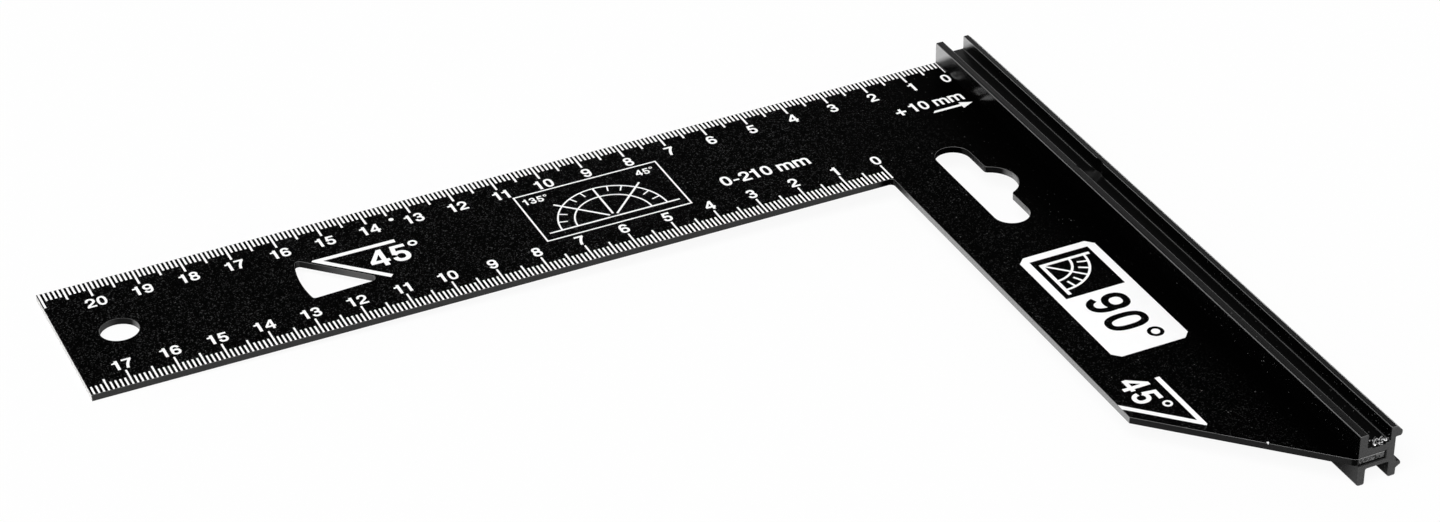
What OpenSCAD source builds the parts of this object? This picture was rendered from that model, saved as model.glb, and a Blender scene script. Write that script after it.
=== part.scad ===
// Carpenter's square: a black steel plate, blade and tongue in one piece, pressed into the slot of
// an extruded aluminium stock and held there by a punch mark, with white printed scales.
// Frame: the blade runs to -X and the stock to -Y. x = 0 is the stock's inner guide face, which is
// the zero of the outer scale, y = 0 is the blade's outer edge and z = 0 is mid-thickness.

/* [Plate] */
// Distance from the stock's inner guide face to the blade's tip
blade_reach = 210.5; // [120:0.5:320]
// Width of the blade, outer edge to inner edge
blade_width = 39.6; // [36:0.1:60]
// Width of the tongue that shows beside the stock
tongue_width = 31.8; // [28:0.1:60]
// Thickness of the steel plate
plate_t = 1.5; // [1:0.1:2.5]
// Distance along Y from the guide face's far end to the 45 degree cut
cut_overrun = 0.6; // [0.1:0.1:4]

/* [Stock] */
// Length of the stock
stock_length = 169; // [150:0.5:260]
// Width of the stock, guide face to the tips of its outer noses
stock_width = 10; // [9.9:0.05:12]
// Height of the stock, centred on the plate
stock_height = 11.8; // [11.2:0.1:15]
// Thickness of the inner wall above the plate
inner_wall_top = 1.9; // [1.6:0.05:2.2]
// Thickness of the inner wall below the plate
inner_wall_bottom = 1.85; // [1.6:0.05:2.2]
// Distance from the guide face to the channels' outer side
channel_far = 7.1; // [7:0.05:7.5]
// Distance from the guide face to the outer wall's outer side
outer_wall_x = 8.3; // [8.1:0.05:8.5]
// Distance from the guide face to the outer side of the outer wall's foot
outer_foot_x = 8.95; // [8.8:0.05:9.2]
// Thickness of the lip above the plate
lip_top = 1.95; // [1.6:0.05:2.2]
// Thickness of the lip below the plate
lip_bottom = 1.35; // [1.2:0.05:1.8]

/* [Joint] */
// Depth to which the plate goes into the stock's slot
seat_depth = 5.9; // [5:0.1:6.2]
// Gap between the plate's hidden edge and the slot's end
seat_end_gap = 0.25; // [0.1:0.05:0.5]
// Gap below the plate in the slot
seat_under_gap = 0.15; // [0.05:0.05:0.3]
// Distance from the blade's outer edge to the punch mark
punch_from_edge = 60.5; // [45:0.5:120]
// Radius of the punch mark, wider than the channel, so it bites the walls too
punch_r = 2.9; // [2.6:0.1:3.1]
// Depth of the punch mark's cone below the channel's floor
punch_depth = 1.3; // [0.6:0.1:1.5]
// Radius of the metal that the punch drives down beside the plate
stake_r = 1.2; // [0.8:0.1:1.4]
// Clearance round the driven metal in the plate's notch
stake_clearance = 0.1; // [0.05:0.05:0.3]
// Width of the peened dent at the channel's open end
peen_width = 3; // [2:0.1:4.2]
// Depth of the peened dent
peen_depth = 0.35; // [0.2:0.05:0.8]

/* [Openings in the plate] */
// Diameter of the hanging hole near the tip
hole_d = 8.2; // [5:0.1:12]
// Distance from the tip to the hanging hole's centre
hole_from_tip = 11.8; // [9:0.1:16]
// Width of the display slot in the tongue
slot_width = 8.1; // [6:0.1:10]
// Length of the display slot
slot_length = 33.6; // [28:0.1:40]
// Distance from the blade's outer edge to the display slot's middle
slot_from_edge = 50.4; // [48:0.1:70]
// Radius of the display slot's side bump
bump_r = 6.15; // [5:0.05:6.4]
// Distance from the display slot's axis to the bump's centre
bump_offset = 2.1; // [1:0.1:2.5]
// Radius that blends the bump into the slot's side
bump_blend = 1; // [0.5:0.1:1.5]
// Distance from the guide face to the mitre notch's far side
notch_from_stock = 160; // [150:0.5:180]
// Distance from the blade's outer edge to the mitre notch's foot
notch_from_edge = 27; // [25:0.1:29]
// Length of the mitre notch's foot, up to the sharp corner of its 45 degree side
notch_leg = 17; // [14:0.1:19]
// Rise of the mitre notch's foot over its length, towards the stock
notch_foot_rise = 0.8; // [0:0.1:1.5]
// Radius of the mitre notch's bowed far side
notch_bow_r = 30; // [24:1:60]

/* [Print] */
// Thickness of the printed ink
ink_t = 0.05; // [0.03:0.01:0.1]
// Bare strip between the ink and an edge or a wall
ink_margin = 0.04; // [0.02:0.01:0.2]
// Distance by which the print sits nearer to the blade's outer edge than to its inner edge
print_shift = 0.25; // [0:0.05:0.5]
// Pitch of the graduations
tick_pitch = 1; // [1:1:2]
// Width of a graduation
tick_width = 0.5; // [0.2:0.05:0.55]
// Length of a millimetre graduation
tick_short = 3.1; // [2:0.1:4]
// Length of a five millimetre graduation
tick_mid = 4.4; // [3:0.1:5]
// Length of a centimetre graduation
tick_long = 5.5; // [4:0.1:6]
// Stroke width of the 45 degree marks
mark_stroke = 1.08; // [0.6:0.02:1.4]
// Gap between the 45 degree side of the notch and the mark beside it
notch_mark_gap = 0.55; // [0.3:0.05:1.5]
// Length of the notch mark's leg along the blade
notch_mark_leg = 18.8; // [12:0.1:22]
// Gap between the cut and the mark beside it, measured square to the cut
cut_mark_gap = 2.06; // [0.8:0.02:4]
// Length of the cut mark's leg along the tongue
cut_mark_leg = 18.4; // [12:0.1:24]
// Distance from the guide face to the cut mark's leg
cut_mark_x = 19.55; // [14:0.05:24]

/* [Hidden] */

$fn = 96;
// How far a cutter runs past the face that it cuts
past = 1;
half_t = plate_t / 2;
half_h = stock_height / 2;
tongue_x = -tongue_width;
inner_edge_y = -blade_width;
// The cut is the line on which x + y has this value
cut_sum = -(stock_length + cut_overrun);
slot_x = -tongue_width / 2;
slot_side_x = slot_x + slot_width / 2;
channel_floor_z = half_t + lip_top;
lower_channel_z = -half_t - seat_under_gap - lip_bottom;
seat_end_x = seat_depth + seat_end_gap;
punch_x = (inner_wall_top + channel_far) / 2;
// Segments in a small rounded corner of an outline
corner_steps = 5;
// Segments in the mitre notch's bowed side
bow_steps = 8;

// Corner radii of the stock's section: the feet's three lower corners, an edge and a root
guide_foot_r = 0.8;
inner_foot_r = 0.4;
outer_foot_r = 0.6;
edge_r = 0.3;
root_r = 0.2;
// The upper nose, down from the top: its 45 degree slope, its tip face and its underside
nose_slope = 1.45;
nose_tip_z = [half_h - nose_slope - 0.75, half_h - nose_slope];
nose_under_z = half_h - 2.6;
// How far the upper nose stays behind the lower one, and the radius of its tip's corners
nose_setback = 0.25;
nose_r = 0.35;
// The lower nose, up from the bottom: its roof, its tip face and its root on the foot
low_nose_roof_z = -half_h + 3.25;
low_nose_tip_z = [-half_h + 2.7, -half_h + 2.3];
low_nose_root_z = -half_h + 1.65;
// The gusset that leads from the outer wall to the lower nose
gusset_z = [-half_h + 4.7, -half_h + 3.7];
gusset_x = outer_wall_x + 0.5;

// Corner radii of the plate: where the tongue's cut meets its end, and the inside corner
cut_end_r = 0.8;
inside_corner_r = 1;

// Corner radii of the mitre notch: far top, foot and near end
notch_r_top = 0.85;
notch_r_foot = 0.7;
notch_r_end = 1.2;
// Height of the bow's middle above the notch's foot
notch_bow_mid = 5.5;

function unit(v) = v / norm(v);
function turn_angle(v) = atan2(v[1], v[0]);

// Points of one corner of an outline, as an arc of radius r that touches both sides
function corner_arc(before, at, after, r) =
    r == 0 ? [at] :
    let (
        u = unit(before - at),
        w = unit(after - at),
        half = acos(u * w) / 2,
        centre = at + unit(u + w) * r / sin(half),
        from = turn_angle(at + u * r / tan(half) - centre),
        swing_raw = turn_angle(at + w * r / tan(half) - centre) - from,
        swing = swing_raw > 180 ? swing_raw - 360 : swing_raw < -180 ? swing_raw + 360 : swing_raw
    )
    [for (i = [0 : corner_steps])
        let (a = from + swing * i / corner_steps) centre + r * [cos(a), sin(a)]];

// An outline of [x, y, corner radius] rows, with its corners rounded
function rounded(rows) =
    let (n = len(rows), p = [for (row = rows) [row[0], row[1]]])
    [for (i = [0 : n - 1])
        each corner_arc(p[(i + n - 1) % n], p[i], p[(i + 1) % n], rows[i][2])];

// Section of the stock, x across and z up
upper_nose_x = stock_width - nose_setback;
function stock_outline() = rounded([
    [0, -half_h, guide_foot_r],
    [inner_wall_bottom, -half_h, inner_foot_r],
    [inner_wall_bottom, lower_channel_z, inner_foot_r],
    [channel_far, lower_channel_z, root_r],
    [channel_far, -half_h, outer_foot_r],
    [outer_foot_x, -half_h, edge_r],
    [outer_foot_x, low_nose_root_z, root_r],
    [stock_width, low_nose_tip_z[1], root_r],
    [stock_width, low_nose_tip_z[0], root_r],
    [stock_width - edge_r, low_nose_roof_z, root_r],
    [gusset_x, low_nose_roof_z, root_r],
    [gusset_x, gusset_z[1], root_r],
    [outer_wall_x, gusset_z[0], root_r],
    [outer_wall_x, nose_under_z, root_r],
    [upper_nose_x - edge_r, nose_under_z, root_r],
    [upper_nose_x, nose_tip_z[0], nose_r],
    [upper_nose_x, nose_tip_z[1], nose_r],
    [upper_nose_x - nose_slope, half_h, root_r],
    [channel_far, half_h, root_r],
    [channel_far, channel_floor_z, root_r],
    [inner_wall_top, channel_floor_z, root_r],
    [inner_wall_top, half_h, edge_r],
    [0, half_h, edge_r],
    [0, half_t, 0],
    [seat_end_x, half_t, 0],
    [seat_end_x, -half_t - seat_under_gap, 0],
    [0, -half_t - seat_under_gap, 0]
]);

// The mitre notch: a foot along the blade, a 45 degree side and a bowed far side
notch_far_x = -notch_from_stock;
notch_foot_y = -notch_from_edge;
notch_end_y = notch_foot_y + notch_foot_rise;
notch_sum = notch_far_x + notch_leg + notch_foot_y;
notch_bow_y = notch_foot_y + notch_bow_mid;
function bow_x(y) = notch_far_x + notch_bow_r - sqrt(notch_bow_r * notch_bow_r - pow(y - notch_bow_y, 2));
// Where the bow meets the 45 degree side, found in a few steps from the sharp corner
function bow_meets(y, steps) = steps == 0 ? y : bow_meets(notch_sum - bow_x(y), steps - 1);
notch_top_y = bow_meets(notch_sum - notch_far_x, 12);
function notch_outline() = rounded([
    for (i = [0 : bow_steps])
        let (y = notch_top_y + (notch_foot_y - notch_top_y) * i / bow_steps)
        [bow_x(y), y, i == 0 ? notch_r_top : i == bow_steps ? notch_r_foot : 0],
    [notch_sum - notch_end_y, notch_end_y, notch_r_end]
]);

// The steel plate as cut: blade, tongue and the strip that goes into the stock
function plate_outline() = rounded([
    [-blade_reach, 0, 0],
    [seat_depth, 0, 0],
    [seat_depth, -stock_length, 0],
    [cut_sum + stock_length, -stock_length, cut_end_r],
    [tongue_x, cut_sum - tongue_x, 0],
    [tongue_x, inner_edge_y, inside_corner_r],
    [-blade_reach, inner_edge_y, 0]
]);

// A flat shape cut from the plate
module plate_slab(points, t = plate_t) {
    translate([0, 0, -t / 2]) linear_extrude(height = t) polygon(points);
}

// A round cutter through the plate
module plate_drill(x, y, r) {
    translate([x, y, -half_t - past]) cylinder(h = plate_t + 2 * past, r = r);
}

// The display slot with its side bump, and the blends where the bump leaves the slot's side
module display_slot() {
    end_y = (slot_length - slot_width) / 2;
    cut_t = plate_t + 2 * past;
    bump_x = slot_x + bump_offset;
    blend_x = slot_side_x + bump_blend;
    reach = bump_r + bump_blend;
    blend_y = sqrt(reach * reach - pow(blend_x - bump_x, 2));
    touch = [blend_x - bump_x, blend_y] * bump_r / reach;
    translate([0, -slot_from_edge, 0]) {
        for (side = [-1, 1]) plate_drill(slot_x, side * end_y, slot_width / 2);
        plate_drill(bump_x, 0, bump_r);
        translate([slot_x - slot_width / 2, -end_y, -cut_t / 2]) cube([slot_width, 2 * end_y, cut_t]);
        for (side = [-1, 1]) difference() {
            plate_slab([
                [slot_x, 0],
                [slot_x, side * blend_y],
                [slot_side_x, side * blend_y],
                [blend_x, side * blend_y],
                [bump_x + touch[0], side * touch[1]]
            ], cut_t);
            plate_drill(blend_x, side * blend_y, bump_blend);
        }
    }
}

// The driven metal sits in a notch in the plate's hidden edge
module stake_notch() {
    r = stake_r + stake_clearance;
    stake_x = seat_depth - stake_r;
    plate_drill(stake_x, -punch_from_edge, r);
    translate([stake_x, -punch_from_edge - r, -half_t - past])
        cube([seat_depth - stake_x + past, 2 * r, plate_t + 2 * past]);
}

module blade() {
    color("#1b1b1c") difference() {
        plate_slab(plate_outline());
        plate_drill(-blade_reach + hole_from_tip, -blade_width / 2, hole_d / 2);
        display_slot();
        plate_slab(notch_outline(), plate_t + 2 * past);
        stake_notch();
    }
}

// The punch: a cone that ends below the channel's floor, under a straight shank
module punch() {
    tip_r = 0.6;
    translate([punch_x, -punch_from_edge, channel_floor_z - punch_depth]) {
        cylinder(h = punch_depth, r1 = tip_r, r2 = punch_r);
        translate([0, 0, punch_depth]) cylinder(h = stock_height, r = punch_r);
    }
}

// The dent that closes the channel's open end over the plate, a round groove along the end's edge
module peen() {
    groove_r = 1.4;
    translate([punch_x - peen_width / 2, -stock_length, channel_floor_z + groove_r - peen_depth])
        rotate([0, 90, 0]) cylinder(h = peen_width, r = groove_r);
}

module stock() {
    color("#2a2b2d") {
        difference() {
            rotate([90, 0, 0]) linear_extrude(height = stock_length) polygon(stock_outline());
            punch();
            peen();
        }
        translate([seat_depth - stake_r, -punch_from_edge, -half_t - seat_under_gap])
            cylinder(h = plate_t + seat_under_gap, r = stake_r);
    }
}

// Length of the graduation at n millimetres
function tick_length(n) = n % 10 == 0 ? tick_long : n % 5 == 0 ? tick_mid : tick_short;

// A printed patch on the plate's top face
module ink(points) {
    translate([0, 0, half_t]) linear_extrude(height = ink_t) polygon(points);
}

// One upright graduation between two heights, which stops short of the stock's wall
module tick(x, y_low, y_high) {
    left = x - tick_width / 2;
    right = min(x + tick_width / 2, -ink_margin);
    ink([[left, y_low], [right, y_low], [right, y_high], [left, y_high]]);
}

// Millimetres from the guide face, along the blade's outer edge
module outer_scale() {
    last = floor(blade_reach - tick_width / 2);
    color("#f2f2ee") for (n = [0 : tick_pitch : last])
        tick(-n, print_shift - tick_length(n), -ink_margin);
}

// Millimetres from the tongue's inner edge, along the blade's inner edge
module inner_scale() {
    last = floor(blade_reach - tongue_width - tick_width / 2);
    color("#f2f2ee") for (n = [0 : tick_pitch : last])
        tick(tongue_x - n, inner_edge_y + ink_margin, inner_edge_y + print_shift + tick_length(n));
}

// The pointer beside the mitre notch: a leg along the blade and a stroke along the 45 degree side
module notch_mark() {
    outer_sum = notch_sum + notch_mark_gap * sqrt(2);
    inner_sum = outer_sum + mark_stroke * sqrt(2);
    top_y = notch_foot_y + notch_leg - notch_mark_drop;
    low_y = top_y - mark_stroke;
    foot = [outer_sum - notch_mark_foot_y, notch_mark_foot_y];
    ink([
        [outer_sum - top_y + point_cut, top_y],
        [outer_sum - top_y + point_cut / 2, top_y - point_cut / 2],
        foot,
        foot + mark_stroke * [1, 1] / sqrt(2),
        [inner_sum - low_y, low_y],
        [outer_sum - top_y + notch_mark_leg, low_y],
        [outer_sum - top_y + notch_mark_leg, top_y]
    ]);
}
// Drop from the notch's sharp top corner to the mark's leg, and the height where the stroke ends
notch_mark_drop = 3.55;
notch_mark_foot_y = notch_foot_y + 0.25;
// How far the marks' sharp points are cut back
point_cut = 0.7;

// The pointer beside the cut: a leg along the tongue and a stroke along the cut
module cut_mark() {
    outer_sum = cut_sum + cut_mark_gap * sqrt(2);
    inner_sum = outer_sum + mark_stroke * sqrt(2);
    edge_x = tongue_x + ink_margin;
    near_x = -cut_mark_x;
    far_x = near_x - mark_stroke;
    ink([
        [near_x - point_cut / 2, outer_sum - near_x + point_cut / 2],
        [near_x, outer_sum - near_x + point_cut],
        [near_x, outer_sum - near_x + cut_mark_leg],
        [far_x, outer_sum - near_x + cut_mark_leg],
        [far_x, inner_sum - far_x],
        [edge_x, inner_sum - edge_x],
        [edge_x, outer_sum - edge_x]
    ]);
}

module angle_marks() {
    color("#f2f2ee") {
        notch_mark();
        cut_mark();
    }
}

blade();
stock();
outer_scale();
inner_scale();
angle_marks();
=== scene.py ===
"""Looks of the carpenter's square: a coated steel plate in a black stock, with white print."""

import math
import random

import bmesh
import bpy
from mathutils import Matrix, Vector, noise
from mathutils.geometry import delaunay_2d_cdt


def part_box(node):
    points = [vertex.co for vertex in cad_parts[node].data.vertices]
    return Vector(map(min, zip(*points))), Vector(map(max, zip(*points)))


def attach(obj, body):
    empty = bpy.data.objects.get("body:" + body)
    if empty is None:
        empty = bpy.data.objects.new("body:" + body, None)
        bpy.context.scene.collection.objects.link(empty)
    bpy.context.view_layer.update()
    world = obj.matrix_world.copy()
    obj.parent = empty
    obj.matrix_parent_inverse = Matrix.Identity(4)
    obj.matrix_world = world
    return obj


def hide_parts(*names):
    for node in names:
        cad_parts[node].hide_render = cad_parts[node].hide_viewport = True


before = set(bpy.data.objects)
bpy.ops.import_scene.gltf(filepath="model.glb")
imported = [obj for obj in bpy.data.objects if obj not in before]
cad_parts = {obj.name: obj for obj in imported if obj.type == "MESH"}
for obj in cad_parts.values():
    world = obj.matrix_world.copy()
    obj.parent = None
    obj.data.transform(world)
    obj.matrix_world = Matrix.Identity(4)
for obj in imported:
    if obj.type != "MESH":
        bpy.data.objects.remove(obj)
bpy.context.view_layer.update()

MM = 0.001

# Sizes in millimetres, as in the part's source. Where a node's box gives a size, it is read there.
plate_low, plate_high = (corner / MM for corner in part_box("blade"))
stock_low, stock_high = (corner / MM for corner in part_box("stock"))
TIP_X = plate_low.x
PLATE_TOP = plate_high.z
BLADE_WIDTH = 39.6
TONGUE_WIDTH = 31.8
STOCK_END_Y = stock_low.y
STOCK_FOOT_Z = stock_low.z
# The stock's upper channel: its floor, its two walls and the light line in its far corner
CHANNEL_FLOOR_Z = 2.7
CHANNEL_NEAR_X, CHANNEL_FAR_X = 1.85, 7.1
CORNER_LINE_X = 6.95
# The end of the slot that holds the plate
SEAT_END_X = 6.15
HOLE_X, HOLE_Y = -198.7, -19.8
# The mitre notch: its far side, the narrow end of its 45 degree side, and its foot
NOTCH_FAR_X, NOTCH_NEAR_X = -160, -143
NOTCH_FOOT_Y = -27
PUNCH_X, PUNCH_Y = 4.5, -60.5
# A chip in the coating, on the arris of the tongue's 45 degree cut
CHIP_X, CHIP_Y = -12.5, -156.75

# How far the metal's sharp edges are eased
PLATE_EASE = 0.07
STOCK_EASE = 0.12
# Angles between faces in degrees: up to which they are one plane, above which an edge is eased,
# and above which it is shaded sharp on cut metal and on peened metal
PLANE_ANGLE = 0.5
SHARP_ANGLE = 50
CUT_ANGLE = 40
PEENED_ANGLE = 60

# The print: how far it stands above the coating and sinks into it, and its gap to an edge
INK_TOP = PLATE_TOP + 0.03
INK_FOOT = PLATE_TOP - 0.01
INK_MARGIN = 0.07
# The print is turned a little on the plate: its rise along +X, and where it is in line
PRINT_SLOPE = 0.0034
PRINT_PIVOT_X = -100

# Numerals beside the graduations, and the figures of the two 45 degree labels
NUMERAL_HEIGHT = 3.32
OUTER_BASELINE_Y = -9.29
INNER_BASELINE_Y = -33.35
NOTCH_FIGURE_HEIGHT = 6.36
CUT_FIGURE_HEIGHT = 5.95
DEGREE_RADIUS = 0.8
DEGREE_PEN = 0.5


# Trees of nodes


class Value:
    """A node's output socket, which adds Math nodes where it is used in a sum."""

    def __init__(self, tree, socket):
        self.tree = tree
        self.socket = socket

    def _math(self, operation, *terms):
        return self.tree.node("ShaderNodeMath", {"operation": operation}, dict(enumerate(terms)))

    def __add__(self, other):
        return self._math("ADD", self, other)

    __radd__ = __add__

    def __sub__(self, other):
        return self._math("SUBTRACT", self, other)

    def __rsub__(self, other):
        return self._math("SUBTRACT", other, self)

    def __mul__(self, other):
        return self._math("MULTIPLY", self, other)

    __rmul__ = __mul__

    def __mod__(self, other):
        return self._math("FLOORED_MODULO", self, other)

    def __abs__(self):
        return self._math("ABSOLUTE", self)

    def below(self, limit):
        """1 where the value is under the limit, and 0 elsewhere."""
        return self._math("LESS_THAN", self, limit)

    def rise(self, low, high):
        """0 up to low and 1 from high on, with a smooth rise between. High may be the smaller."""
        return self.tree.node(
            "ShaderNodeMapRange",
            {"interpolation_type": "SMOOTHSTEP"},
            {"Value": self, "From Min": low, "From Max": high},
        )


class Tree:
    """A node tree, with one method that adds any node."""

    def __init__(self, tree):
        self.tree = tree

    def node(self, kind, settings=None, sockets=None, out=0):
        """Adds a node: its settings first, then the values or links of its sockets."""
        node = self.tree.nodes.new(kind)
        for name, value in (settings or {}).items():
            if name == "stops":
                self._stops(node.color_ramp, value)
            else:
                setattr(node, name, value)
        for name, value in (sockets or {}).items():
            self.feed(node.inputs[name], value)
        return Value(self, node.outputs[out]) if node.outputs else node

    def feed(self, socket, value):
        """Links a value, or several into one socket that takes them, or sets a plain value."""
        if isinstance(value, Value):
            self.tree.links.new(value.socket, socket)
        elif isinstance(value, (list, tuple)) and socket.is_multi_input:
            for part in value:
                self.tree.links.new(part.socket, socket)
        else:
            socket.default_value = value

    def _stops(self, ramp, stops):
        """Sets a ramp's stops from their places and grey levels."""
        while len(ramp.elements) < len(stops):
            ramp.elements.new(1)
        for element, (place, level) in zip(ramp.elements, stops):
            element.position = place
            element.color = (level, level, level, 1)

    def mix(self, factor, a, b):
        """A colour between a and b."""
        return self.node(
            "ShaderNodeMix", {"data_type": "RGBA"}, {0: factor, 6: a, 7: b}, out=2
        )

    def parts(self, vector):
        """The x, y and z of a vector."""
        split = self.node("ShaderNodeSeparateXYZ", None, {0: vector})
        outputs = split.socket.node.outputs
        return [Value(self, outputs[i]) for i in range(3)]


class Finish(Tree):
    """A material of one piece's finish, on Object coordinates in millimetres.

    The place on the piece is x, y, z, and the way that its surface faces is nx, ny, nz.
    """

    def __init__(self, name):
        self.material = bpy.data.materials.new(name)
        self.material.use_nodes = True
        super().__init__(self.material.node_tree)
        self.shader = self.tree.nodes["Principled BSDF"]
        coordinates = self.node("ShaderNodeTexCoord", None, None, out="Object")
        self.spot = self.node(
            "ShaderNodeVectorMath", {"operation": "SCALE"}, {0: coordinates, "Scale": 1 / MM}
        )
        self.x, self.y, self.z = self.parts(self.spot)
        facing = Value(self, coordinates.socket.node.outputs["Normal"])
        self.nx, self.ny, self.nz = self.parts(facing)

    def grain(self, size, detail=2, stretch=(1, 1, 1), shift=0.0):
        """Noise from 0 to 1 with features of a size in millimetres, drawn out by a stretch."""
        spread = self.node(
            "ShaderNodeMapping",
            None,
            {
                0: self.spot,
                "Location": (shift, shift, shift),
                "Scale": [1 / (size * part) for part in stretch],
            },
        )
        return self.node(
            "ShaderNodeTexNoise", None, {"Vector": spread, "Scale": 1.0, "Detail": detail}
        )

    def distance(self, spot):
        """Distance in millimetres to a place on the piece."""
        return self.node(
            "ShaderNodeVectorMath", {"operation": "DISTANCE"}, {0: self.spot, 1: spot}, out=1
        )

    def dust(self, cell, radius, share):
        """0 to 1 on uneven specks, from their spacing and largest radius in mm and their share."""
        cells = self.node("ShaderNodeTexVoronoi", None, {"Vector": self.spot, "Scale": 1 / cell})
        picked, size, level = self.parts(Value(self, cells.socket.node.outputs["Color"]))
        rim = cells + (self.grain(radius, detail=1, shift=9) - 0.5) * (radius / cell)
        reach = (0.25 + 0.75 * size * size) * (radius / cell)
        return rim.below(reach) * picked.below(share) * (0.25 + 0.75 * level)

    def bump(self, height, depth):
        """A normal from a height of 0 to 1, where 1 stands up by a depth in millimetres."""
        return self.node(
            "ShaderNodeBump", None, {"Height": height, "Distance": depth * MM, "Strength": 1.0}
        )

    def shade(self, **values):
        """Feeds the shader's sockets, whose names are written with low lines for spaces."""
        for name, value in values.items():
            self.feed(self.shader.inputs[name.replace("_", " ")], value)
        return self.material


def grey(level, warmth=0.0):
    """A grey of a linear level, a little warm or cool."""
    return (level * (1 + warmth), level, level * (1 - warmth), 1)


# Finishes


def coated_face(finish, fine, coarse):
    """The coating on the plate's faces, with its grain and a little dust."""
    x, y = finish.x, finish.y
    patches = finish.grain(22, detail=2, shift=7)
    # The grain shows most towards the tip and fades out beside the stock
    edge_of_grain = x + 3 * coarse + 5 * patches - 5 * y.rise(-60, -140)
    strength = edge_of_grain.rise(-3, -14) * (0.45 + 0.55 * x.rise(-12, -60))
    specks = (fine * 0.88 + coarse * 0.12).rise(0.58, 0.68) * strength * (0.35 + patches)
    face = finish.mix(specks, grey(0.0003, 0.01), grey(0.04, -0.01))
    return finish.mix(finish.dust(0.7, 0.18, 0.25) * x.rise(-1, -8), face, grey(0.09))


def coated_cuts(finish, shear, in_hole, corner_shade):
    """The coating on the plate's cut edges."""
    x, y, nx = finish.x, finish.y, finish.nx
    cut = finish.mix(shear, grey(0.022), grey(0.055))
    # Painted shade: cut faces turned towards ±X are darker than those that face ±Y
    cut = finish.mix(abs(nx).rise(0.25, 0.65), cut, grey(0.013))
    # The notch's 45 degree side turns lighter towards its narrow end
    by_notch = x.rise(NOTCH_FAR_X + 3, NOTCH_NEAR_X - 3)
    by_notch = by_notch * x.rise(NOTCH_NEAR_X + 5, NOTCH_NEAR_X + 1)
    by_notch = by_notch * y.rise(NOTCH_FOOT_Y - 6, NOTCH_FOOT_Y - 4)
    cut = finish.mix(by_notch, cut, finish.mix(shear, grey(0.08), grey(0.14)))
    # Painted light and shade: the hole's wall is lighter where it faces +X and darker where it
    # faces -X
    cut = finish.mix(in_hole, cut, finish.mix(nx.rise(-0.3, 0.7), grey(0.012), grey(0.09)))
    # Painted shade: the rounded corner between the cut and the seated end is darkened
    rounded_end_shade = y.rise(STOCK_END_Y + 0.7, STOCK_END_Y + 0.4) * x.rise(0.0, -0.15)
    cut = finish.mix(rounded_end_shade, cut, grey(0.002))
    # Painted shade: the cut edges turn black close to the inner corner
    return finish.mix(corner_shade, cut, grey(0.0))


def ground_steel(finish, shear, corner_shade):
    """Bare steel on the plate's ground ends: bright at the tip, duller on tongue and notch."""
    x = finish.x
    bare = finish.mix(shear, grey(0.55, 0.01), grey(0.8, 0.01))
    bare = finish.mix(x.rise(-120, -100), bare, finish.mix(shear, grey(0.24), grey(0.42)))
    by_tip = x.rise(TIP_X + 3.5, TIP_X + 5.5)
    bare = finish.mix(by_tip, bare, finish.mix(x.rise(-120, -140), bare, grey(0.16)))
    # Painted shade: the bare steel is darkened close to the inner corner
    return finish.mix(corner_shade, bare, grey(0.03))


def torn_steel(finish, fine):
    """The end of the strip in the stock's slot: torn, bright at its top and dark at its foot."""
    torn = finish.mix(fine.rise(0.4, 0.62), grey(0.02), grey(0.14))
    torn = finish.mix(finish.z.rise(0.55, 0.68), torn, grey(0.3))
    return finish.mix(finish.z.rise(-0.45, -0.6), torn, grey(0.0))


def coated_steel():
    """Black coating with a fine grain, thin on the plate's cut edges and ground off its ends."""
    finish = Finish("black_coated_steel")
    x, y, nz = finish.x, finish.y, finish.nz
    fine = finish.grain(0.3, detail=1)
    coarse = finish.grain(1.1, detail=2, shift=40)
    shear = finish.grain(0.3, detail=2, stretch=(1, 1, 0.35), shift=12)
    edge = abs(nz).rise(0.75, 0.45)
    ground = abs(finish.nx).rise(0.78, 0.98) * edge
    seated_end = edge * y.rise(STOCK_END_Y + 0.4, STOCK_END_Y + 0.1) * x.rise(-0.2, 0.0)
    in_hole = finish.distance((HOLE_X, HOLE_Y, 0)).rise(6, 5)
    # Painted shade: both sides of the inner corner are darkened close to it
    corner_shade = x.rise(-TONGUE_WIDTH - 4.2, -TONGUE_WIDTH - 2.2)
    corner_shade = corner_shade * y.rise(-BLADE_WIDTH - 12.4, -BLADE_WIDTH - 1.4)
    cut = coated_cuts(finish, shear, in_hole, corner_shade)
    sides = finish.mix(seated_end, cut, torn_steel(finish, fine))
    sides = finish.mix(ground, sides, ground_steel(finish, shear, corner_shade))
    colour = finish.mix(edge, coated_face(finish, fine, coarse), sides)
    chip = (finish.distance((CHIP_X, CHIP_Y, PLATE_TOP)) + 0.5 * fine).rise(0.54, 0.46)
    colour = finish.mix(chip * shear.rise(0.3, 0.45), colour, grey(0.9))
    # The coating is thin along the upper arris, and its lighter colour there is also a painted
    # highlight; it is left off the outer edge, which faces +Y
    arris_wear_and_highlight = nz.rise(0.15, 0.4) * nz.rise(0.98, 0.9) * finish.ny.rise(0.3, 0.0)
    arris_wear_and_highlight = arris_wear_and_highlight * (1 - 0.5 * in_hole) * (1 - ground) * (1 - chip)
    return finish.shade(
        Base_Color=finish.mix(arris_wear_and_highlight * 0.8, colour, grey(0.2)),
        Metallic=ground * 0.85,
        Roughness=0.56 - 0.1 * fine - 0.12 * edge - 0.12 * ground,
        Specular_IOR_Level=0.005,
        Normal=finish.bump(fine * 0.7 + coarse * 0.3, 0.02),
    )


def wall_tops(finish):
    """1 near the outer faces of the stock's walls, and 1 where a face lies level."""
    outside = abs(finish.z).rise(stock_high.z - 0.4, stock_high.z - 0.1)
    return outside, abs(finish.nz).rise(0.9, 0.99)


def rubbed_patches(finish, guide):
    """1 on a painted reflection of the bright floor: patches at the far end of the walls' sides
    that look at the blade.
    """
    foot_z = PLATE_TOP + (CHANNEL_FLOOR_Z - PLATE_TOP) * finish.x.rise(2, 3)
    above_foot = finish.z - foot_z
    return guide * (finish.y + 1.36 * above_foot).rise(-1.4, 1.4) * above_foot.rise(0.05, 0.6)


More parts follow.
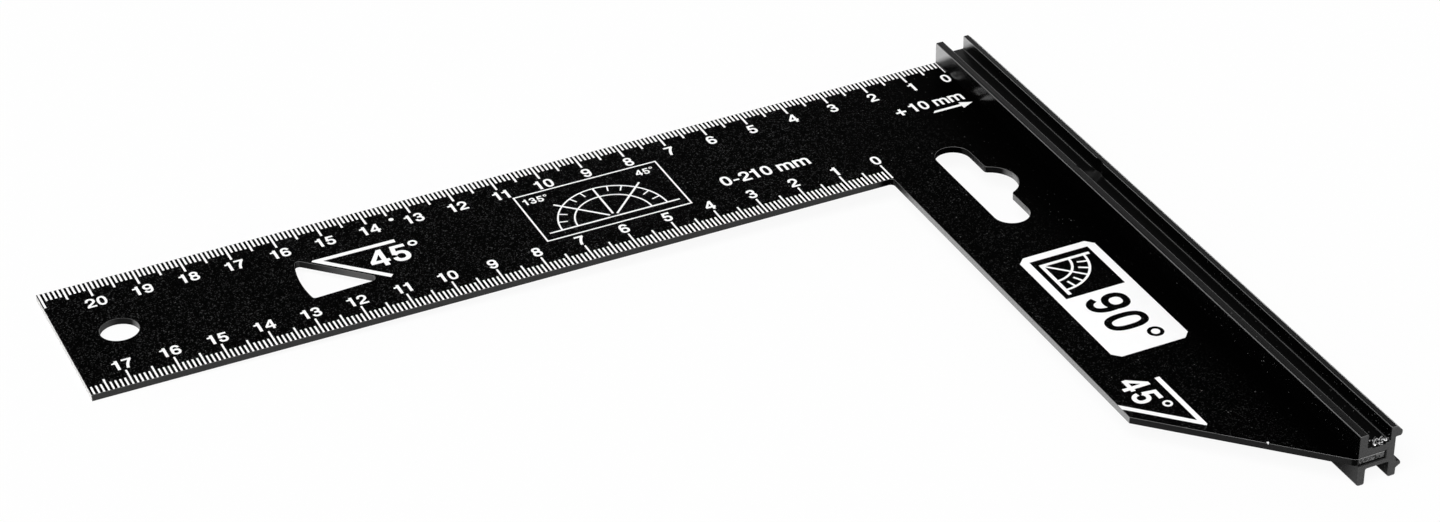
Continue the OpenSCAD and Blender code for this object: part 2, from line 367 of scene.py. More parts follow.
def anodised_skin(finish, lines, long_lines, inside, guide, from_punch):
    """The skin of the extrusion's drawn faces."""
    x, y, z, nz = finish.x, finish.y, finish.z, finish.nz
    outside, level = wall_tops(finish)
    skin = finish.mix(lines * 0.6 + long_lines * 0.4, grey(0.001), grey(0.006))
    # The outer faces of the walls are rubbed to a satin grey, and their arrises are lighter, partly
    # worn and partly a painted highlight
    arris_wear_and_highlight = outside * abs(nz).rise(0.5, 0.62) * abs(nz).rise(0.92, 0.82)
    skin = finish.mix(outside * level, skin, finish.mix(long_lines, grey(0.0004), grey(0.0045)))
    skin = finish.mix(arris_wear_and_highlight, skin, grey(0.11))
    # Painted shade: the channels and the guide faces are darkened to the blackest
    skin = finish.mix(guide * (1 - outside), skin, grey(0.0006))
    skin = finish.mix(inside * 0.75, skin, grey(0.0004))
    # A light line along the channel's far corner
    corner = (abs(x - CORNER_LINE_X) + abs(z - CHANNEL_FLOOR_Z)).rise(0.17, 0.07)
    skin = finish.mix(corner * from_punch.rise(3.3, 4.4), skin, grey(0.06))
    # Painted reflection: a light grey patch at the far end of the guide face
    skin = finish.mix(rubbed_patches(finish, guide), skin, grey(0.33))
    return finish.mix(finish.dust(0.7, 0.15, 0.25) * y.rise(-60, -160), skin, grey(0.15))


def anodised_aluminium():
    """Satin black anodised extrusion with die lines along it, saw-cut ends and a punched hollow."""
    finish = Finish("black_anodised_aluminium")
    x, y, z = finish.x, finish.y, finish.z
    lines = finish.grain(0.16, detail=3, stretch=(1, 260, 1))
    long_lines = finish.grain(0.5, detail=2, stretch=(1, 90, 1), shift=30)
    saw_marks = finish.grain(0.22, detail=2, stretch=(14, 1, 1), shift=5)
    struck = finish.grain(0.5, detail=3, shift=71)
    outside, level = wall_tops(finish)
    sawn = abs(finish.ny).rise(0.8, 0.95)
    guide = finish.nx.rise(-0.8, -0.95)
    guide_face = guide * (1 - outside)
    inside = x.rise(CHANNEL_NEAR_X - 0.1, CHANNEL_NEAR_X)
    inside = inside * x.rise(CHANNEL_FAR_X + 0.1, CHANNEL_FAR_X - 0.02)
    inside = inside * abs(z).rise(stock_high.z - 0.15, stock_high.z - 0.3) * (1 - sawn)
    from_punch = finish.distance((PUNCH_X, PUNCH_Y, CHANNEL_FLOOR_Z))
    hollow = from_punch.rise(3.3, 2.0)
    painted_reflection = rubbed_patches(finish, guide)
    # A dark joint round the plate, widened by painted shade
    joint_and_painted_shade = x.rise(SEAT_END_X + 0.4, SEAT_END_X + 0.25) * z.rise(-1.3, -1.15) * z.rise(0.95, 0.85)

    skin = anodised_skin(finish, lines, long_lines, inside, guide, from_punch)
    colour = finish.mix(sawn, skin, finish.mix(saw_marks, grey(0.004), grey(0.016)))
    # Painted light: the punched hollow is lighter on its side towards the inner wall, with a struck
    # grain
    dent = finish.mix(struck, grey(0.004), grey(0.04))
    colour = finish.mix(hollow * x.rise(5.4, 2.4), colour, dent)
    # How much of the sheen shows: most on the rounded edges, little in the channels
    sheen = 0.4 + 0.4 * (1 - level) * outside - 0.22 * level * outside - 0.36 * inside
    sheen = sheen - 0.35 * guide_face * (1 - inside) + 0.85 * painted_reflection
    # The guide face is the smoothest, and its far end mirrors the print beside it
    rough = 0.3 + 0.15 * long_lines + 0.16 * sawn + 0.25 * hollow - 0.12 * outside * level
    rough = rough - guide_face * (0.07 + 0.14 * y.rise(-14, -24)) * (1 - painted_reflection)
    return finish.shade(
        Base_Color=finish.mix(joint_and_painted_shade, colour, grey(0.0)),
        Roughness=rough,
        Specular_IOR_Level=0.2,
        Coat_Weight=sheen * (1 - joint_and_painted_shade) * (1 - hollow),
        Coat_IOR=1.8,
        Coat_Roughness=0.2,
        Normal=finish.bump(
            lines * (1 - sawn) * 0.5 + saw_marks * sawn * 0.5 + hollow * struck, 0.012
        ),
    )


def white_ink():
    """Flat white ink, a little thin where the coating's grain stands through it."""
    finish = Finish("white_print")
    fine = finish.grain(0.2, detail=2)
    cloud = finish.grain(1.6, detail=2, shift=15)
    return finish.shade(
        Base_Color=finish.mix(fine * 0.6 + cloud * 0.4, grey(0.93), grey(0.99)),
        Roughness=0.62 + 0.12 * fine,
        Specular_IOR_Level=0.3,
        Normal=finish.bump(fine, 0.008),
    )


def peened_aluminium():
    """Bright bare aluminium, torn and pressed by the peening tool."""
    finish = Finish("bare_peened_aluminium")
    flakes = finish.grain(0.22, detail=3)
    stain = finish.grain(0.42, detail=2, shift=33).rise(0.46, 0.6)
    return finish.shade(
        Base_Color=finish.mix(stain, grey(0.035), grey(0.9)),
        Metallic=0.85,
        Roughness=0.3 + 0.3 * flakes,
        Normal=finish.bump(flakes, 0.08),
    )


# Metal pieces


def shade_smooth(mesh, angle):
    """Shades a mesh smooth, with its edges sharp above an angle in degrees."""
    custom = mesh.attributes.get("custom_normal")
    if custom:
        mesh.attributes.remove(custom)
    body = bmesh.new()
    body.from_mesh(mesh)
    for face in body.faces:
        face.smooth = True
    for edge in body.edges:
        edge.smooth = edge.calc_face_angle(0) < math.radians(angle)
    body.to_mesh(mesh)
    body.free()


def freeze(piece):
    """Turns a piece with its modifiers into a plain mesh."""
    graph = bpy.context.evaluated_depsgraph_get()
    mesh = bpy.data.meshes.new_from_object(piece.evaluated_get(graph), depsgraph=graph)
    piece.modifiers.clear()
    piece.data = mesh
    mesh.name = piece.name
    return piece


def finished(mesh, finish):
    """Gives a mesh one finish."""
    mesh.materials.clear()
    mesh.materials.append(finish)
    return mesh


def show(name, mesh, finish):
    """Puts a mesh in the scene as a piece with one finish."""
    piece = bpy.data.objects.new(name, finished(mesh, finish))
    bpy.context.scene.collection.objects.link(piece)
    return piece


def keep(piece, slot, *nodes):
    """Fixes a finished piece on the body and hides its nodes; the slot is not used."""
    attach(piece, "root")
    if nodes:
        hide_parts(*nodes)


def eased(node, name, width, eases, finish):
    """A copy of a node's mesh whose picked sharp edges are eased by a width in millimetres."""
    body = bmesh.new()
    body.from_mesh(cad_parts[node].data)
    bmesh.ops.remove_doubles(body, verts=body.verts, dist=1e-6)
    bmesh.ops.dissolve_limit(
        body, angle_limit=math.radians(PLANE_ANGLE), verts=body.verts, edges=body.edges
    )
    weight = body.edges.layers.float.new("bevel_weight_edge")
    for edge in body.edges:
        sharp = len(edge.link_faces) == 2 and edge.calc_face_angle() > math.radians(SHARP_ANGLE)
        if sharp and eases(*(vert.co / MM for vert in edge.verts)):
            edge[weight] = 1
    mesh = bpy.data.meshes.new(name)
    body.to_mesh(mesh)
    body.free()
    piece = show(name, mesh, finish)
    bevel = piece.modifiers.new("ease", "BEVEL")
    bevel.limit_method = "WEIGHT"
    bevel.offset_type = "OFFSET"
    bevel.width = width * MM
    bevel.segments = 3
    bevel.use_clamp_overlap = False
    freeze(piece)
    shade_smooth(piece.data, CUT_ANGLE)
    normals = piece.modifiers.new("normals", "WEIGHTED_NORMAL")
    normals.keep_sharp = True
    return freeze(piece)


def plate_edge_shows(a, b):
    """True for the plate's edges outside the slot."""
    return max(a.x, b.x) < 0.1


def stock_end_edge(a, b):
    """True for the edges round the stock's two end faces, but not round the plate's slot."""
    in_slot = max(abs(a.z), abs(b.z)) < 1 and max(a.x, b.x) < SEAT_END_X + 0.35
    return not in_slot and any(
        max(abs(a.y - end), abs(b.y - end)) < 0.01 for end in (stock_high.y, STOCK_END_Y)
    )


def peened_lumps(finish):
    """Small lumps of metal that the peening threw up in the channel's open end."""
    count = 30
    smallest, largest = 0.14, 0.38
    start_x, row_length = 3.5, 3.3
    depth = 1.9
    draw = random.Random(11)
    body = bmesh.new()
    for i in range(count):
        along = i / (count - 1)
        radius = draw.uniform(smallest, largest)
        centre = Vector(
            (
                start_x + row_length * along + draw.uniform(-0.25, 0.25),
                STOCK_END_Y + draw.uniform(radius + 0.05, depth),
                CHANNEL_FLOOR_Z - 0.1 + draw.uniform(-0.1, 0.3),
            )
        )
        lump = bmesh.ops.create_icosphere(body, subdivisions=3, radius=radius)
        for vert in lump["verts"]:
            dent = 1 + 0.8 * noise.noise(vert.co * 6 + centre * 5)
            vert.co = centre + Vector((vert.co.x * 1.15, vert.co.y, vert.co.z * 0.8)) * dent
            vert.co.y = max(vert.co.y, STOCK_END_Y + 0.02)
            vert.co *= MM
    mesh = bpy.data.meshes.new("peened_metal")
    body.to_mesh(mesh)
    body.free()
    piece = show("peened_metal", mesh, finish)
    remesh = piece.modifiers.new("one_skin", "REMESH")
    remesh.mode = "VOXEL"
    remesh.voxel_size = 0.05 * MM
    freeze(piece)
    shade_smooth(piece.data, PEENED_ANGLE)
    finished(piece.data, finish)
    return piece


# Graduations

# What a row of graduations is given, by the kind of its sockets
GRADUATION_INPUTS = {
    "Vector": ("Start",),
    "Int": ("First number", "Graduations"),
    "Float": (
        "Pitch",
        "Turn",
        "Width",
        "Long line",
        "Middle line",
        "Short line",
        "Corner",
        "Ink",
        "Slope",
        "Pivot",
    ),
    "Material": ("Material",),
}


def printed_lines(tree, given, row, length, picked):
    """Graduations of one length: flat solids of ink on the picked points of a row."""
    outline = tree.node(
        "GeometryNodeCurvePrimitiveQuadrilateral",
        {"mode": "RECTANGLE"},
        {"Width": given("Width"), "Height": length},
    )
    outline = tree.node(
        "GeometryNodeFilletCurve",
        {"mode": "POLY"},
        {"Curve": outline, "Radius": given("Corner"), "Count": 3},
    )
    sheet = tree.node("GeometryNodeFillCurve", {"mode": "NGONS"}, {"Curve": outline})
    middle = tree.node("ShaderNodeCombineXYZ", None, {"Y": length * 0.5})
    sheet = tree.node("GeometryNodeTransform", None, {"Geometry": sheet, "Translation": middle})
    up = tree.node("ShaderNodeCombineXYZ", None, {"Z": 1.0})
    raised = tree.node(
        "GeometryNodeExtrudeMesh",
        {"mode": "FACES"},
        {"Mesh": sheet, "Offset": up, "Offset Scale": given("Ink"), "Individual": False},
    )
    under = tree.node("GeometryNodeFlipFaces", None, {"Mesh": sheet})
    solid = tree.node("GeometryNodeJoinGeometry", None, {"Geometry": (raised, under)})
    solid = tree.node("GeometryNodeMergeByDistance", None, {"Geometry": solid, "Distance": 1e-6})
    turn = tree.node("ShaderNodeCombineXYZ", None, {"Z": given("Turn")})
    return tree.node(
        "GeometryNodeInstanceOnPoints",
        None,
        {"Points": row, "Selection": picked, "Instance": solid, "Rotation": turn},
    )


def graduation_tree():
    """Geometry nodes for a row of printed graduations, long, middle or short by their number."""
    group = bpy.data.node_groups.new("graduation_row", "GeometryNodeTree")
    group.interface.new_socket("Geometry", in_out="OUTPUT", socket_type="NodeSocketGeometry")
    for kind, names in GRADUATION_INPUTS.items():
        for name in names:
            group.interface.new_socket(name, in_out="INPUT", socket_type="NodeSocket" + kind)
    tree = Tree(group)
    inputs = tree.node("NodeGroupInput").socket.node.outputs

    def given(name):
        """The value of a named input."""
        return Value(tree, inputs[name])

    step = tree.node("ShaderNodeCombineXYZ", None, {"X": 0 - given("Pitch")})
    row = tree.node(
        "GeometryNodeMeshLine",
        {"mode": "OFFSET"},
        {"Count": given("Graduations"), "Start Location": given("Start"), "Offset": step},
    )
    number = tree.node("GeometryNodeInputIndex") + given("First number")
    ten = (number % 10).below(0.5)
    five = (number % 5).below(0.5)
    lengths = (("Long line", ten), ("Middle line", five - ten), ("Short line", 1 - five))
    lines = [printed_lines(tree, given, row, given(name), picked) for name, picked in lengths]
    lines = tree.node("GeometryNodeJoinGeometry", None, {"Geometry": lines})
    lines = tree.node("GeometryNodeRealizeInstances", None, {"Geometry": lines})
    # The ends away from the plate's edge follow the print's slope
    x, y = tree.parts(tree.node("GeometryNodeInputPosition"))[:2]
    start_y = tree.parts(given("Start"))[1]
    away = 1 - abs(y - start_y).below(1 * MM)
    rise = (x - given("Pivot")) * given("Slope") * away
    lines = tree.node(
        "GeometryNodeSetPosition",
        None,
        {"Geometry": lines, "Offset": tree.node("ShaderNodeCombineXYZ", None, {"Y": rise})},
    )
    lines = tree.node(
        "GeometryNodeSetMaterial", None, {"Geometry": lines, "Material": given("Material")}
    )
    tree.node("NodeGroupOutput", None, {"Geometry": lines})
    return group


def graduations(name, group, finish, **sizes):
    """A row of graduations, made by the geometry nodes from sizes in millimetres."""
    piece = show(name, bpy.data.meshes.new(name), finish)
    rule = piece.modifiers.new("graduation_row", "NODES")
    rule.node_group = group
    plain = {"First number", "Graduations", "Turn", "Slope"}
    for item in group.interface.items_tree:
        key = item.name.replace(" ", "_")
        if item.in_out != "INPUT":
            continue
        if item.name == "Material":
            rule[item.identifier] = finish
        elif item.name in plain:
            rule[item.identifier] = sizes[key]
        elif item.name == "Start":
            rule[item.identifier] = [part * MM for part in sizes[key]]
        else:
            rule[item.identifier] = sizes[key] * MM
    return freeze(piece)


# Lettering: each glyph is drawn with a pen on a height of 1

PEN = 0.165
HALF = PEN / 2
DIGIT_WIDTH = 0.61
MIDDLE = DIGIT_WIDTH / 2
TOP = 1 - HALF


def arc(centre, radii, start, end, steps=16, squareness=2.25):
    """Points along a slightly squared ellipse, between two angles in degrees."""
    points = []
    for i in range(steps + 1):
        angle = math.radians(start + (end - start) * i / steps)
        part = [
            math.copysign(abs(side) ** (2 / squareness), side)
            for side in (math.cos(angle), math.sin(angle))
        ]
        points.append((centre[0] + radii[0] * part[0], centre[1] + radii[1] * part[1]))
    return points


def ring(centre, radii, steps=30, squareness=2.25):
    """Points round a slightly squared ellipse."""
    return arc(centre, radii, 0, 360, steps, squareness)[:-1]


def stroke(path, width=PEN, closed=False):
    """The quads of a pen stroke of even width along a path, with mitred joins."""
    points = [Vector(point) for point in path]
    count = len(points)
    sides = []
    for i, point in enumerate(points):
        before = points[i - 1] if closed or i > 0 else None
        after = points[(i + 1) % count] if closed or i < count - 1 else None
        into = (point - before if before else after - point).normalized()
        out = (after - point if after else into).normalized()
        across = Vector((-into.y - out.y, into.x + out.x)).normalized()
        reach = width / 2 / max(0.35, across.dot(Vector((-into.y, into.x))))
        sides.append((point + across * reach, point - across * reach))
    quads = []
    for i in range(count if closed else count - 1):
        (left, right), (next_left, next_right) = sides[i], sides[(i + 1) % count]
        quads.append([left, right, next_right, next_left])
    return quads


def block(x0, y0, x1, y1):
    """The corners of a rectangle."""
    return [(x0, y0), (x1, y0), (x1, y1), (x0, y1)]


def turned_about(shapes, width):
    """Shapes turned half round on a glyph's middle."""
    return [[(width - x, 1 - y) for x, y in shape] for shape in shapes]


def glyph_shapes():
    """Width and shapes of every glyph that the print needs."""
    six = stroke(ring((MIDDLE, 0.315), (MIDDLE - HALF, 0.229)), closed=True) + stroke(
        arc((MIDDLE + 0.008, 0.56), (MIDDLE - HALF + 0.008, TOP - 0.56), 200, 24)
    )
    arch = 0.194
    stem = 0.68
    return {
        "0": (
            DIGIT_WIDTH,
            stroke(ring((MIDDLE, 0.5), (MIDDLE - HALF, 0.5 - HALF), squareness=2.5), closed=True),
        ),
        "1": (
            0.39,
            [
                block(0.2, 0, 0.39, 1),
                [
                    (0, 0.69),
                    (0.21, 0.69),
                    (0.38, 1),
                    (0.25, 1),
                    (0.215, 0.92),
                    (0.14, 0.845),
                    (0, 0.815),
                ],
            ],
        ),
        "2": (
            DIGIT_WIDTH,
            stroke(
                arc((MIDDLE, 0.665), (MIDDLE - HALF, TOP - 0.665), 184, -22)
                + [(0.44, 0.475), (0.32, 0.36), (0.2, 0.265), (0.12, 0.17), (0.095, 0.08)]
            )
            + [block(0.005, 0, DIGIT_WIDTH, PEN * 0.97)],
        ),
        "3": (
            DIGIT_WIDTH,
            stroke(arc((0.295, 0.715), (0.198, TOP - 0.715), 178, -90))
            + stroke(arc((0.3, 0.3), (MIDDLE - HALF, 0.3 - HALF), 90, -180))
            + [block(0.19, 0.44, 0.31, 0.59)],
        ),
        "4": (
            0.66,
            [
                block(0.4, 0, 0.565, 1),
                block(0, 0.215, 0.66, 0.375),
                [(0, 0.3), (0.15, 0.3), (0.56, 1), (0.41, 1), (0, 0.375)],
            ],
        ),
        "5": (
            DIGIT_WIDTH,
            stroke([(0.585, 0.912), (0.165, 0.912), (0.1, 0.47)])
            + stroke(arc((0.298, 0.325), (MIDDLE - HALF, 0.325 - HALF), 150, -178)),
        ),
        "6": (DIGIT_WIDTH, six),
        "7": (
            DIGIT_WIDTH,
            [block(0, 0.835, DIGIT_WIDTH, 1)]
            + stroke([(0.535, 0.9), (0.4, 0.68), (0.3, 0.45), (0.235, 0.22), (0.205, 0)], 0.178),
        ),
        "8": (
            DIGIT_WIDTH,
            stroke(ring((MIDDLE, 0.725), (MIDDLE - HALF - 0.03, TOP - 0.725)), closed=True)
            + stroke(ring((MIDDLE, 0.3), (MIDDLE - HALF, 0.3 - HALF)), closed=True),
        ),
        "9": (DIGIT_WIDTH, turned_about(six, DIGIT_WIDTH)),
        "m": (
            4 * arch + PEN,
            [block(0, 0, PEN, 0.765)]
            + stroke(
                [(HALF, 0.3)] + arc((HALF + arch, 0.48), (arch, stem - 0.48), 180, 0)
                + [(HALF + 2 * arch, 0)]
            )
            + stroke(
                [(HALF + 2 * arch, 0.3)]
                + arc((HALF + 3 * arch, 0.48), (arch, stem - 0.48), 180, 0)
                + [(HALF + 4 * arch, 0)]
            ),
        ),
        "-": (0.36, [block(0, 0.29, 0.36, 0.43)]),
        " ": (0.18, []),
        "°": (0.33, stroke(ring((0.165, 0.86), (0.126, 0.126), 24, 2), 0.08, closed=True)),
    }


GLYPHS = glyph_shapes()
GAP = 0.115
GAP_AFTER_ONE = 0.25


def words(text, height, gap=GAP):
    """Shapes of a line of print from the left end of its base line, and its width."""
    shapes, pen_x, last = [], 0.0, ""
    for letter in text:
        if last:
            pen_x += GAP_AFTER_ONE if last == "1" else gap
        width, drawn = GLYPHS[letter]
        shapes += [[((x + pen_x) * height, y * height) for x, y in shape] for shape in drawn]
        pen_x += width
        last = letter
    return shapes, pen_x * height


def moved(shapes, x, y):
    """Shapes moved by x and y."""
    return [[(px + x, py + y) for px, py in shape] for shape in shapes]


def along_tongue(shapes):
    """Shapes turned to read along the tongue: their x runs to -Y and their y to +X."""
    return [[(y, -x) for x, y in shape] for shape in shapes]


def placed(text, height, x, y, gap=GAP):
    """Shapes of a line of print from x on, with its base line at y."""
    return moved(words(text, height, gap)[0], x, y)


def centred(text, height, x, y, gap=GAP):
    """Shapes of a line of print with its middle at x and its base line at y."""
    shapes, width = words(text, height, gap)
    return moved(shapes, x - width / 2, y)


def inked_triangles(layers):
    """Flat print from layers of shapes that add ink or leave it out in turn: spots, triangles."""
    points, faces, layer_of = [], [], []
    for layer, shapes in enumerate(layers):
        for shape in shapes:
            area = sum(
                a[0] * b[1] - b[0] * a[1] for a, b in zip(shape, list(shape[1:]) + [shape[0]])
            )
            loop = shape if area > 0 else list(reversed(shape))
            faces.append(list(range(len(points), len(points) + len(loop))))
            points += [Vector((px, py)) for px, py in loop]
            layer_of.append(layer)
    spots, _, triangles, _, _, sources = delaunay_2d_cdt(points, [], faces, 1, 1e-5)
    inked = [
        list(triangle)
        for triangle, owners in zip(triangles, sources)
        if owners and max(layer_of[i] for i in owners) % 2 == 0
    ]
    return spots, inked


def print_patch(name, layers, finish):
    """A thin closed patch of ink, 1 piece from layers of shapes."""
    spots, inked = inked_triangles(layers)
    used = sorted({corner for triangle in inked for corner in triangle})
    place = {corner: i for i, corner in enumerate(used)}
    count = len(used)
    body = [(spots[i].x * MM, spots[i].y * MM, INK_TOP * MM) for i in used]
    body += [(x, y, INK_FOOT * MM) for x, y, _ in body]
    tops = [[place[i] for i in triangle] for triangle in inked]
    sides = set()
    for a, b, c in tops:
        sides |= {(a, b), (b, c), (c, a)}
    rims = sorted(side for side in sides if (side[1], side[0]) not in sides)
    shells = tops + [[i + count for i in reversed(top)] for top in tops]
    shells += [[a, a + count, b + count, b] for a, b in rims]
    mesh = bpy.data.meshes.new(name)
    mesh.from_pydata(body, [], shells)
    mesh.validate()
    patch = bmesh.new()
    patch.from_mesh(mesh)
    bmesh.ops.dissolve_limit(
        patch, angle_limit=math.radians(PLANE_ANGLE), verts=patch.verts, edges=patch.edges
    )
    patch.to_mesh(mesh)
    patch.free()
    return show(name, mesh, finish)


def print_y(y, x):
    """A print line's y at a place along the blade, with the print's small turn."""
    return y + PRINT_SLOPE * (x - PRINT_PIVOT_X)


def numerals(baseline, places):
    """Numerals centred on places along the blade."""
    shapes = []
    for number, x in places:
        shapes += centred(str(number), NUMERAL_HEIGHT, x, print_y(baseline, x))
    return shapes


# Print beside the graduations


def allowance_mark():
    """The stock's width, to be added where a measure is taken from its far side, and an arrow."""
    base = -17.2
    plus = [block(-18.5, -16.25, -16.05, -15.65), block(-17.58, -17.3, -16.97, -14.6)]
    ten = placed("10", 3.55, -14.75, base, 0.16)
    units = placed("mm", 3.6, -8.86, base, 0.105)
    arrow = [
        [(-11.0, -19.55), (-3.7, -19.5), (-3.7, -18.72), (-10.4, -18.78)],
        [(-3.9, -20.55), (-0.98, -19.12), (-3.9, -17.9)],
    ]
    return plus + ten + units + arrow


def degree_sign(centre, radius=DEGREE_RADIUS, pen=DEGREE_PEN):
    """A round degree sign, whose radius runs to the middle of its line."""
    return stroke(ring(centre, (radius, radius), 28, 2), pen, closed=True)


def notch_label():
    """45 degrees beside the mitre notch."""
    base = -22.2
    four = placed("4", NOTCH_FIGURE_HEIGHT, -144.4, base)
    five = placed("5", NOTCH_FIGURE_HEIGHT, -139.45, base)
    return four + five + degree_sign((-133.84, -16.6))


def cut_label():
    """45 degrees beside the tongue's cut, read along the tongue."""
    base = -28.35
    four = placed("4", CUT_FIGURE_HEIGHT, 126.8, base)
    five = placed("5", CUT_FIGURE_HEIGHT, 131.6, base)
    return along_tongue(four + five + moved(degree_sign((0, 0)), 137.2, -22.8))


def range_label():
    """The scale's range in millimetres."""
    return placed("0-210 mm", 3.75, -65.6, -26.2)


def direction(angle):
    """A step of length 1 at an angle in degrees."""
    return Vector((math.cos(math.radians(angle)), math.sin(math.radians(angle))))


def angle_diagram():
    """A framed half circle of degrees with its 45 and 135 degree lines named."""
    left, right, low, high = -108.1, -74.75, -28.9, -10.0
    line = 0.36
    inner, outer = 8.6, 12.2
    figure = 2.3
    centre = Vector(((left + right) / 2, low + 2.6))
    shapes = stroke(block(left, low, right, high), line, closed=True)
    for radius in (inner, outer):
        shapes += stroke(arc(centre, (radius, radius), 0, 180, 48, 2), line)
    for angle in range(0, 181, 15):
        way = direction(angle)
        whole = angle % 45 == 0
        near = centre + way * (1.2 if whole else inner + 1.6)
        far = centre + way * (outer + 2 if whole and angle != 90 else outer)
        shapes += stroke([near, far], line * (1.25 if whole else 0.9))
    shapes += stroke([(left + 1.6, centre.y), (right - 1.6, centre.y)], line)
    shapes += centred("45°", figure, centre.x + 12.9, high - 3.9, 0.13)
    shapes += centred("135°", figure, centre.x - 12.7, high - 3.9, 0.13)
    return shapes


def angle_panel():
    """A white panel on the tongue: a dark window with a quarter circle, and 90 degrees in dark."""
    length, width = 39.8, 17.9
    notch = 1.6
    panel = [
        (notch, 0),
        (length - notch, 0),
        (length, notch),
        (length, width - notch),
        (length - notch, width),
        (notch, width),
        (0, width - notch),
        (0, notch),
    ]
    border = 2.0
    window = block(border, border, 17.2, width - border)
    figures = placed("90", 9.6, 19.2, 4.15, 0.14) + degree_sign((35.2, 12.2), 1.35, 0.85)
    corner = (4.2, 3.6)
    inner, outer = 6.4, 10.0
    quarter = stroke([(corner[0], 15.0), corner, (16.0, corner[1])], 0.8)
    for radius in (inner, outer):
        quarter += stroke(arc(corner, (radius, radius), 0, 90, 26, 2), 0.55)
    for angle in range(15, 90, 15):
        way = direction(angle)
        near = Vector(corner) + way * (2.4 if angle == 45 else inner + 1.2)
        quarter += stroke([near, Vector(corner) + way * outer], 0.5)
    quarter += stroke([corner, (6.8, 6.2)], 0.5)
    from_edge, panel_side = 79.7, -24.1
    layers = [[panel], [window] + figures, quarter]
    return [along_tongue(moved(layer, from_edge, panel_side)) for layer in layers]


# Pieces

steel = coated_steel()
anodised = anodised_aluminium()
ink = white_ink()
bare = peened_aluminium()

plate = eased("blade", "blade_plate", PLATE_EASE, plate_edge_shows, steel)
stock = eased("stock", "stock_extrusion", STOCK_EASE, stock_end_edge, anodised)
keep(plate, "painted_plate", "blade")
keep(stock, "black_extrusion", "stock")
keep(peened_lumps(bare), "black_extrusion")

rows = graduation_tree()
print_sizes = dict(
    Pitch=1,
    Corner=0.09,
    Ink=INK_TOP - INK_FOOT,
    Slope=PRINT_SLOPE,
    Pivot=PRINT_PIVOT_X,
)
outer_row = dict(
    Start=(-1, -INK_MARGIN, INK_FOOT),
    First_number=1,
    Graduations=210,
    Width=0.47,
    Turn=math.pi,
    Long_line=5.17 - INK_MARGIN,
    Middle_line=4.12 - INK_MARGIN,
    Short_line=2.68 - INK_MARGIN,
)
inner_row = dict(
    Start=(-TONGUE_WIDTH, -BLADE_WIDTH + INK_MARGIN, INK_FOOT),
    First_number=0,
    Graduations=179,
    Width=0.41,
    Turn=0.0,
    Long_line=5.66 - INK_MARGIN,
    Middle_line=4.62 - INK_MARGIN,
    Short_line=3.15 - INK_MARGIN,
)
outer = graduations("outer_graduations", rows, ink, **outer_row, **print_sizes)
inner = graduations("inner_graduations", rows, ink, **inner_row, **print_sizes)
keep(outer, "white_ink", "outer_scale")
keep(inner, "white_ink", "inner_scale")

zero_line = block(-0.25, -4.85, -0.04, -INK_MARGIN)
outer_shapes = numerals(OUTER_BASELINE_Y, [(n, -10 * n) for n in range(1, 21)])
outer_shapes += centred("0", NUMERAL_HEIGHT, -1.33, print_y(OUTER_BASELINE_Y, 0)) + [zero_line]
inner_shapes = numerals(INNER_BASELINE_Y, [(n, -TONGUE_WIDTH - 10 * n) for n in range(18)])
dot_radius = 0.55
print_dot = [ring((-134.6, -6.0), (dot_radius, dot_radius), 20, 2)]
for name, layers in (
    ("outer_numerals", [outer_shapes]),
    ("inner_numerals", [inner_shapes]),
    ("stock_allowance_mark", [allowance_mark()]),
    ("notch_angle_label", [notch_label()]),
    ("cut_angle_label", [cut_label()]),
    ("print_dot", [print_dot]),
    ("angle_diagram", [angle_diagram()]),
    ("range_label", [range_label()]),
    ("angle_panel", angle_panel()),
):
    keep(print_patch(name, layers, ink), "white_ink")

finished(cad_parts["angle_marks"].data, ink)


# Floor, light and camera

# The floor's half width, and how bright it looks to the camera and in reflections
FLOOR_REACH = 2500
FLOOR_SEEN = 0.93
FLOOR_MIRRORED = 0.05
# How bright the studio is by height, from the horizon at 0 to straight above at 1
SKY_LEVELS = [(0.0, 0.95), (0.36, 0.9), (0.54, 0.1), (0.66, 0.05)]
# A soft lamp overhead: its strength, the angle in degrees that it fills and where it shines
LAMP_STRENGTH = 3.1
LAMP_ANGLE = 45
LAMP_AIM = (0.45, 0.3, -0.85)
# Where the camera stands, how it is turned in degrees, and its lens
CAMERA_PLACE = (-328.70, -593.34, 392.54)
CAMERA_TURN = (56.678, 0.961, -25.394)
CAMERA_LENS = 85.7
# The square lies on the stock's lower inner foot and the blade's tip, so the floor leans
FOOT_X = 0.8
FLOOR_LEAN = (plate_low.z - STOCK_FOOT_Z) / (TIP_X - FOOT_X)


def floor_z(x):
    """The floor's height in millimetres under a place along the blade."""
    return STOCK_FOOT_Z + FLOOR_LEAN * (x - FOOT_X)


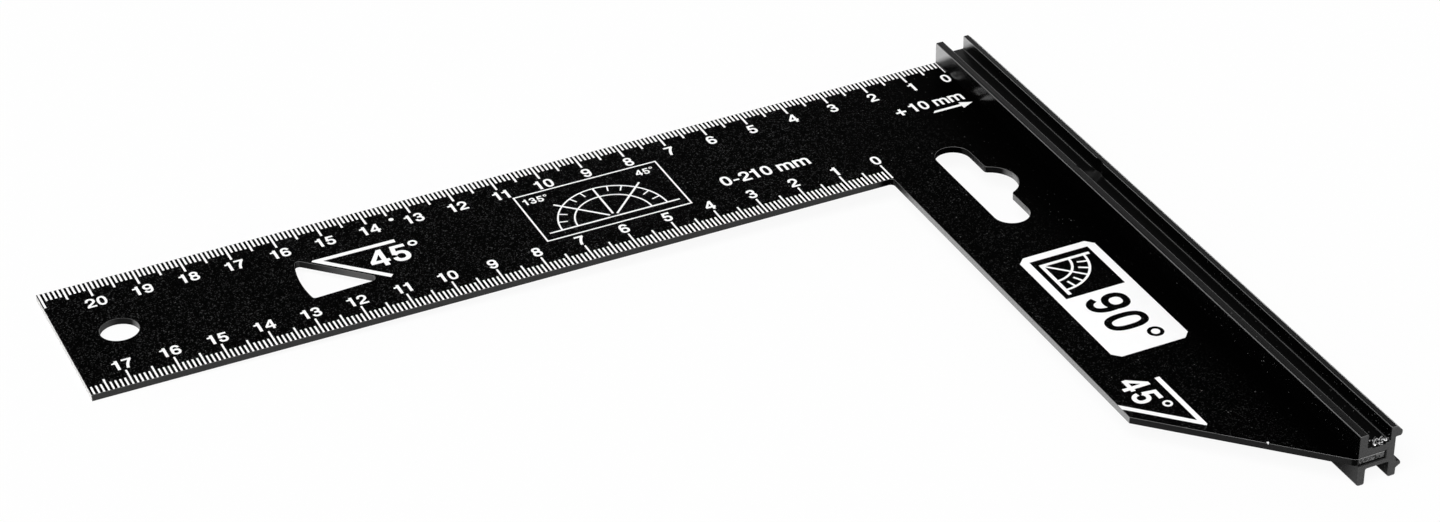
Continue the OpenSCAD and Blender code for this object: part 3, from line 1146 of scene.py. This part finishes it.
def white_paper():
    """Paper that is bright to the camera and dim in reflections."""
    paper = Finish("white_paper")
    path = paper.node("ShaderNodeLightPath").socket.node.outputs
    seen = Value(paper, path["Is Camera Ray"]) * FLOOR_SEEN
    seen = seen + Value(paper, path["Is Glossy Ray"]) * FLOOR_MIRRORED
    paper.shade(Base_Color=grey(0.86), Roughness=0.9, Specular_IOR_Level=0.0)
    glow = paper.node("ShaderNodeEmission", None, {"Color": grey(1.0), "Strength": 1.0})
    surface = paper.node(
        "ShaderNodeMixShader",
        None,
        {0: seen, 1: Value(paper, paper.shader.outputs["BSDF"]), 2: glow},
    )
    paper.feed(paper.tree.nodes["Material Output"].inputs["Surface"], surface)
    return paper.material


def lay_floor():
    """A large sheet of paper under the square."""
    corners = block(-FLOOR_REACH, -FLOOR_REACH, FLOOR_REACH, FLOOR_REACH)
    spots = [(x * MM, y * MM, floor_z(x) * MM) for x, y in corners]
    mesh = bpy.data.meshes.new("floor")
    mesh.from_pydata(spots, [], [(0, 1, 2, 3)])
    show("floor", mesh, white_paper())


def light_studio():
    """A bright low band all round, darker above it, and a soft lamp overhead."""
    world = bpy.data.worlds.new("studio")
    world.use_nodes = True
    bpy.context.scene.world = world
    for node in list(world.node_tree.nodes):
        world.node_tree.nodes.remove(node)
    studio = Tree(world.node_tree)
    height = studio.parts(studio.node("ShaderNodeTexCoord", None, None, out="Generated"))[2]
    glow = studio.node("ShaderNodeValToRGB", {"stops": SKY_LEVELS}, {0: height})
    camera_ray = studio.node("ShaderNodeLightPath", None, None, out="Is Camera Ray")
    background = studio.node(
        "ShaderNodeBackground",
        None,
        {"Color": studio.mix(camera_ray, glow, grey(1.0)), "Strength": 1.0},
    )
    studio.node("ShaderNodeOutputWorld", None, {"Surface": background})
    lamp = bpy.data.lights.new("overhead_softbox", "SUN")
    lamp.energy = LAMP_STRENGTH
    lamp.angle = math.radians(LAMP_ANGLE)
    softbox = bpy.data.objects.new("overhead_softbox", lamp)
    softbox.rotation_euler = Vector(LAMP_AIM).to_track_quat("-Z", "Y").to_euler()
    bpy.context.scene.collection.objects.link(softbox)


def place_camera():
    """The camera, where the photograph was taken from."""
    optics = bpy.data.cameras.new("camera")
    optics.lens = CAMERA_LENS
    optics.sensor_width = 36
    optics.clip_start = 0.05
    optics.clip_end = 20
    camera = bpy.data.objects.new("camera", optics)
    camera.location = Vector(CAMERA_PLACE) * MM
    camera.rotation_euler = [math.radians(angle) for angle in CAMERA_TURN]
    bpy.context.scene.collection.objects.link(camera)
    bpy.context.scene.camera = camera
    bpy.context.scene.view_settings.view_transform = "Standard"


lay_floor()
light_studio()
place_camera()
